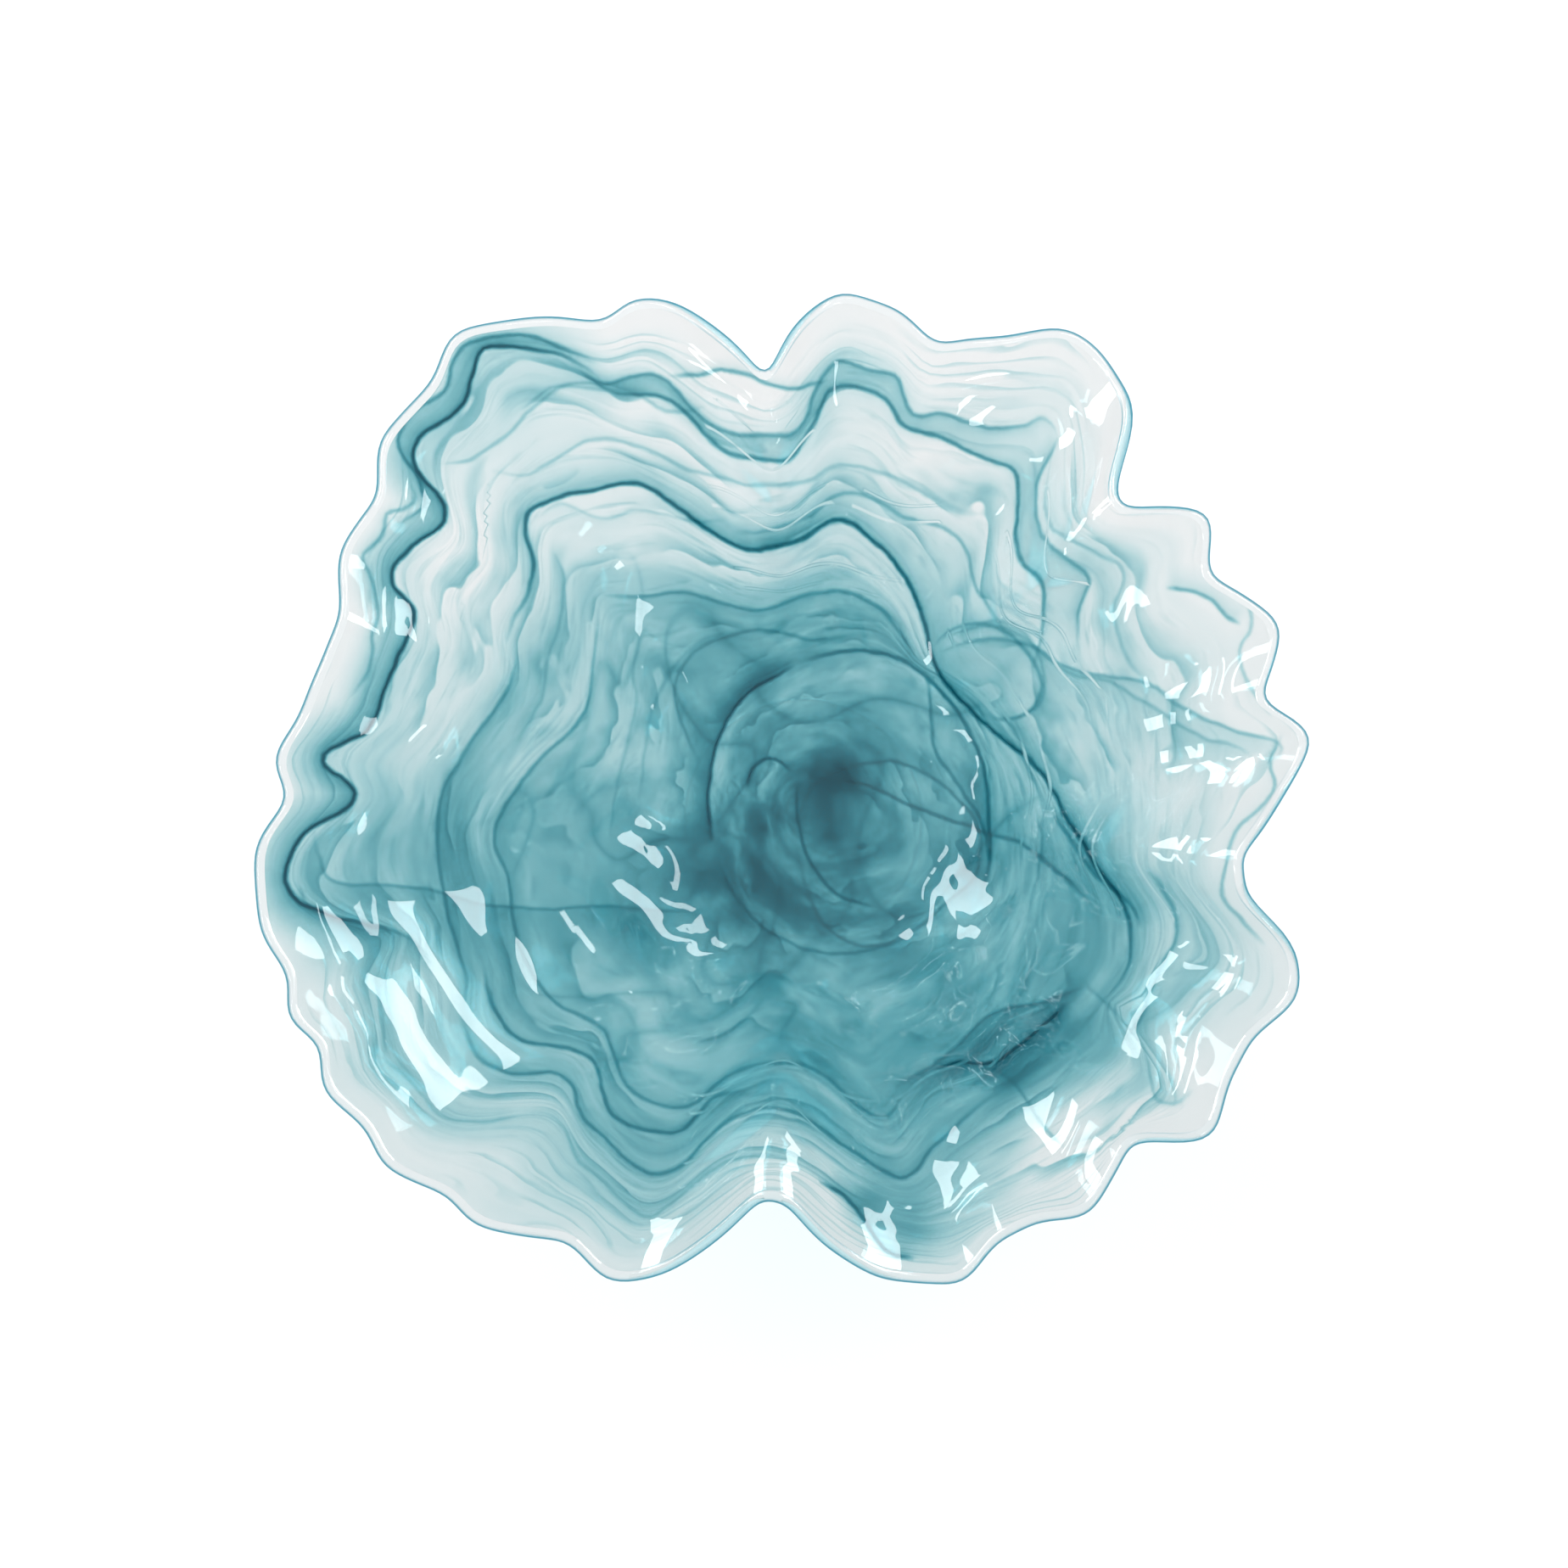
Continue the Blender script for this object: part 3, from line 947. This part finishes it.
def clear_glass(name, tint, edge_tint, edge):
    """Polished glass. Seen at a grazing angle it shows its edge tint, between two values of facing."""
    material, nodes, links, output = new_material(name)
    n = Nodes(nodes, links)
    glass = nodes.new("ShaderNodeBsdfPrincipled")
    glass.inputs["Base Color"].default_value = tint
    glass.inputs["Roughness"].default_value = 0.02
    glass.inputs["IOR"].default_value = 1.5
    glass.inputs["Transmission Weight"].default_value = 1.0
    # light that the wall would trap passes straight on instead, or it would be lost and leave black marks
    facing = nodes.new("ShaderNodeLayerWeight").outputs["Facing"]
    inside = nodes.new("ShaderNodeNewGeometry").outputs["Backfacing"]
    trapped = n.maths("MULTIPLY", inside, n.ramp(facing, *TRAPPED))
    straight = n.maths("MAXIMUM", trapped, n.ramp(facing, *edge))
    seen = n.mix(straight, glass.outputs[0], n.clear(edge_tint))
    links.new(n.mix(n.lamp_light(), seen, n.clear(LAMP_TINT)), output.inputs[0])
    return material


def seam_material():
    """A fused seam: light passes it unchanged."""
    material, nodes, links, output = new_material("fused_seam")
    links.new(Nodes(nodes, links).clear((1, 1, 1, 1)), output.inputs[0])
    return material


# %% [markdown]
# A teal like this can come from copper and cobalt in the glass. It takes most of the red, less of the green
# and least of the blue, and the light that is left falls off with the density of the dye. Strands and hairs
# come from noise that is stretched along the flow, and the core's filaments from plain noise. A little of
# the dye is matt.

# %% The colour's own material
TINT = (1.0, 0.42, 0.355)  # how strongly a density of 1 absorbs red, green and blue
DENSITY = 1.02  # the strength of all the colour together
SHADE = 0.16  # the part of the wash that lamp light sees
COVER = 0.06  # how opaque the dye is


def trail_density(n, place):
    """The density of all trails of a face, wandering a little from their lines."""
    wander = n.maths("MULTIPLY", n.maths("SUBTRACT", n.noise(place, 38, 2.0), 0.5), 3.0)
    wander_fine = n.maths("MULTIPLY", n.maths("SUBTRACT", n.noise(place, 160, 2.0), 0.5), 1.2)
    shift = n.maths("ADD", wander, wander_fine)
    total = 0.0
    for k in range(LAYERS):
        away, line, fill = n.split(n.attribute(f"trail_{k}"))
        away = n.maths("ADD", away, shift)
        soft = n.maths("MULTIPLY", n.attribute(f"soft_{k}", "Fac"), -1.0)
        thin = n.maths("POWER", n.maths("MULTIPLY", away, 1.25), 2.0)
        thin = n.maths("MULTIPLY", n.maths("EXPONENT", n.maths("MULTIPLY", thin, -1.0)), line)
        fading = n.maths("EXPONENT", n.maths("MULTIPLY", n.maths("MAXIMUM", away, 0.0), soft))
        fading = n.maths("MULTIPLY", n.maths("MULTIPLY", fading, n.ramp(away, -0.7, 0.7)), fill)
        total = n.maths("ADD", total, n.maths("ADD", thin, fading))
    return total


def strand_density(n, place, flow, level):
    """Fine strands along the flow, hairs between them, lines near the rim and filaments in the core."""
    bend = n.noise(n.scaled(flow, (1.3, 1.3, 4), (3, 1, 7)), 1.6, 3.0, 0.6)
    bend = n.maths("MULTIPLY", n.maths("SUBTRACT", bend, 0.5), 0.22)
    step = n.maths("FRACT", n.maths("MULTIPLY", n.maths("ADD", level, bend), 15.0))
    strand = n.maths("POWER", n.maths("SUBTRACT", 1.0, step), 2.6)
    strand = n.maths("MULTIPLY", strand, n.ramp(step, 0.0, 0.07))
    patchy = n.ramp(n.noise(n.scaled(flow, (2.2, 2.2, 8), (9, 4, 2)), 1.3, 2.0), 0.42, 0.66)
    strand = n.maths("MULTIPLY", n.maths("MULTIPLY", strand, patchy), 0.75)
    hair = n.noise(n.scaled(flow, (5, 5, 70)), 1.0, 3.0, 0.6, 0.4)
    hair = n.maths("MULTIPLY", n.ramp(hair, 0.5, 0.78), 0.2)
    total = n.maths("MULTIPLY", n.maths("ADD", strand, hair), n.ramp(level, 0.995, 0.8))

    step = n.maths("FRACT", n.maths("MULTIPLY", n.maths("ADD", level, n.maths("MULTIPLY", bend, 0.6)), 38.0))
    line = n.maths("MULTIPLY", n.ramp(step, 0.62, 0.95), n.ramp(step, 1.0, 0.96))
    patchy = n.ramp(n.noise(n.scaled(flow, (2.6, 2.6, 9), (5, 2, 8)), 1.2, 2.0), 0.46, 0.62)
    line = n.maths("MULTIPLY", n.maths("MULTIPLY", line, patchy), n.ramp(level, 0.74, 0.86, 0.0, 0.2))
    total = n.maths("ADD", total, line)

    filament = n.maths("ABSOLUTE", n.maths("SUBTRACT", n.noise(place, 13, 1.0, 0.4, 0.9), 0.5))
    filament = n.maths("EXPONENT", n.maths("MULTIPLY", filament, -55.0))
    return n.maths("ADD", total, n.maths("MULTIPLY", filament, n.ramp(level, 0.6, 0.25, 0.0, 0.6)))


def ink_material(name):
    """The teal colour: trails, strands and wash, as one density that light passes through."""
    material, nodes, links, output = new_material(name)
    n = Nodes(nodes, links)
    place = nodes.new("ShaderNodeTexCoord").outputs["Object"]
    flow = n.attribute("flow")
    wash = n.attribute("wash", "Fac")
    bands = n.ramp(n.noise(n.scaled(flow, (1.7, 1.7, 11)), 1.0, 3.0, 0.55, 0.25), 0.3, 0.72, 0.55, 1.5)
    fine = n.maths("ADD", n.maths("MULTIPLY", wash, bands), strand_density(n, place, flow, n.split(flow)[2]))
    density = n.maths("MULTIPLY", n.maths("ADD", fine, trail_density(n, place)), DENSITY)
    colour = n.stain(density)
    matt = nodes.new("ShaderNodeBsdfDiffuse")
    links.new(colour, matt.inputs[0])
    cover = n.maths("SUBTRACT", 1.0, n.maths("EXPONENT", n.maths("MULTIPLY", density, -COVER)))
    seen = n.mix(cover, n.clear(colour), matt.outputs[0])
    lit = n.clear(n.stain(n.maths("MULTIPLY", wash, SHADE)))
    links.new(n.mix(n.lamp_light(), seen, lit), output.inputs[0])
    return material


# %% [markdown]
# The edge of a glass wall looks deeper in colour than its face, because the light that leaves it has come a
# long way through the glass. So the lip has a deeper edge tint, and it shows over more of the bead.

# %% Give each piece its finish
CLEAR = clear_glass("fire_polished_glass", (0.79, 0.805, 0.81, 1), (0.72, 0.9, 0.93, 1), (0.62, 0.92))
LIP = clear_glass("tinted_lip_glass", (0.8, 0.83, 0.84, 1), (0.3, 0.58, 0.66, 1), (0.12, 0.6))
SEAM_FACE = seam_material()
INK = ink_material("teal_colour")
for piece in (gather, casing, lip, foot):
    piece.data.materials.append(LIP if piece is lip else CLEAR)
    piece.data.materials.append(SEAM_FACE)
    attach(piece, "root")
for ring in rings:
    ring.data.materials.append(INK)
    ring.data.materials.append(SEAM_FACE)
print("materials", [material.name for material in (CLEAR, LIP, SEAM_FACE, INK)])

# %% [markdown]
# ## Studio
#
# A pale floor and a soft white room, darker at the horizon so that the edges of clear glass show. The lamps
# are wide, low softboxes: a bowl mirrors each one as a sliver on the wall that faces it.

# %% Floor and room
WORLD_LOW, WORLD_HIGH = 0.24, 0.6
world = bpy.data.worlds.new("studio")
bpy.context.scene.world = world
world.use_nodes = True
n = Nodes(world.node_tree.nodes, world.node_tree.links)
height = n.split(n.nodes.new("ShaderNodeTexCoord").outputs["Generated"])[2]
n.nodes["Background"].inputs["Color"].default_value = (1, 1, 1, 1)
n.put(n.ramp(height, -0.1, 0.85, WORLD_LOW, WORLD_HIGH), n.nodes["Background"].inputs["Strength"])

floor_mesh = bpy.data.meshes.new("floor")
bm = bmesh.new()
bmesh.ops.create_grid(bm, x_segments=2, y_segments=2, size=12)
bm.to_mesh(floor_mesh)
bm.free()
floor = bpy.data.objects.new("floor", floor_mesh)
bpy.context.scene.collection.objects.link(floor)
floor_material, nodes, links, output = new_material("pale_floor")
matte = nodes.new("ShaderNodeBsdfDiffuse")
matte.inputs[0].default_value = (0.92, 0.92, 0.92, 1)
links.new(matte.outputs[0], output.inputs[0])
floor_mesh.materials.append(floor_material)
floor.location.z = -0.0005  # m: just clear of the foot


# %% Lamps


def softbox(name, bearing, elevation, distance, size, power):
    """A rectangular lamp aimed at the bowl: angles in degrees, sizes in metres, power in watts."""
    data = bpy.data.lights.new(name, "AREA")
    data.shape = "RECTANGLE"
    data.size, data.size_y = size
    data.energy = power
    lamp = bpy.data.objects.new(name, data)
    bpy.context.scene.collection.objects.link(lamp)
    a, e = math.radians(bearing), math.radians(elevation)
    lamp.location = Vector((math.cos(a) * math.cos(e), math.sin(a) * math.cos(e), math.sin(e))) * distance
    lamp.rotation_euler = (-lamp.location).to_track_quat("-Z", "Y").to_euler()
    return lamp


softbox("window_left", 145, 36, 3.2, (1.7, 0.8), 44)
softbox("window_right", 42, 38, 3.2, (1.7, 0.8), 44)
softbox("window_left_high", 150, 60, 3.2, (0.9, 0.22), 5.5)
softbox("window_right_high", 40, 60, 3.2, (0.9, 0.22), 5.5)
softbox("window_side", 192, 33, 3.2, (1.2, 0.3), 11)
softbox("window_front", 318, 34, 3.2, (0.7, 0.3), 6)

# %% [markdown]
# The camera looks down from almost straight above, with a long lens, so that the rim is seen nearly in plan.

# %% Camera
LENS = 100  # mm
SENSOR = 36  # mm
FRAME_WIDTH = 0.613  # m, at the height of the rim
CAMERA_ELEVATION = math.radians(85)
camera_data = bpy.data.cameras.new("camera")
camera = bpy.data.objects.new("camera", camera_data)
bpy.context.scene.collection.objects.link(camera)
camera_data.lens = LENS
camera_data.sensor_width = SENSOR
aim = Vector((-0.008, 0.0053, 0.108))
back = Vector((0, -math.cos(CAMERA_ELEVATION), math.sin(CAMERA_ELEVATION)))
camera.location = aim + back * FRAME_WIDTH * LENS / SENSOR
camera.rotation_euler = (aim - camera.location).to_track_quat("-Z", "Y").to_euler()
camera_data.clip_start = 0.05
camera_data.clip_end = 50
bpy.context.scene.camera = camera

# Light passes many layers of glass on its way, so it is given many bounces
scene = bpy.context.scene
scene.view_settings.view_transform = "Standard"
scene.cycles.transparent_max_bounces = 64
scene.cycles.max_bounces = 24
scene.cycles.transmission_bounces = 24
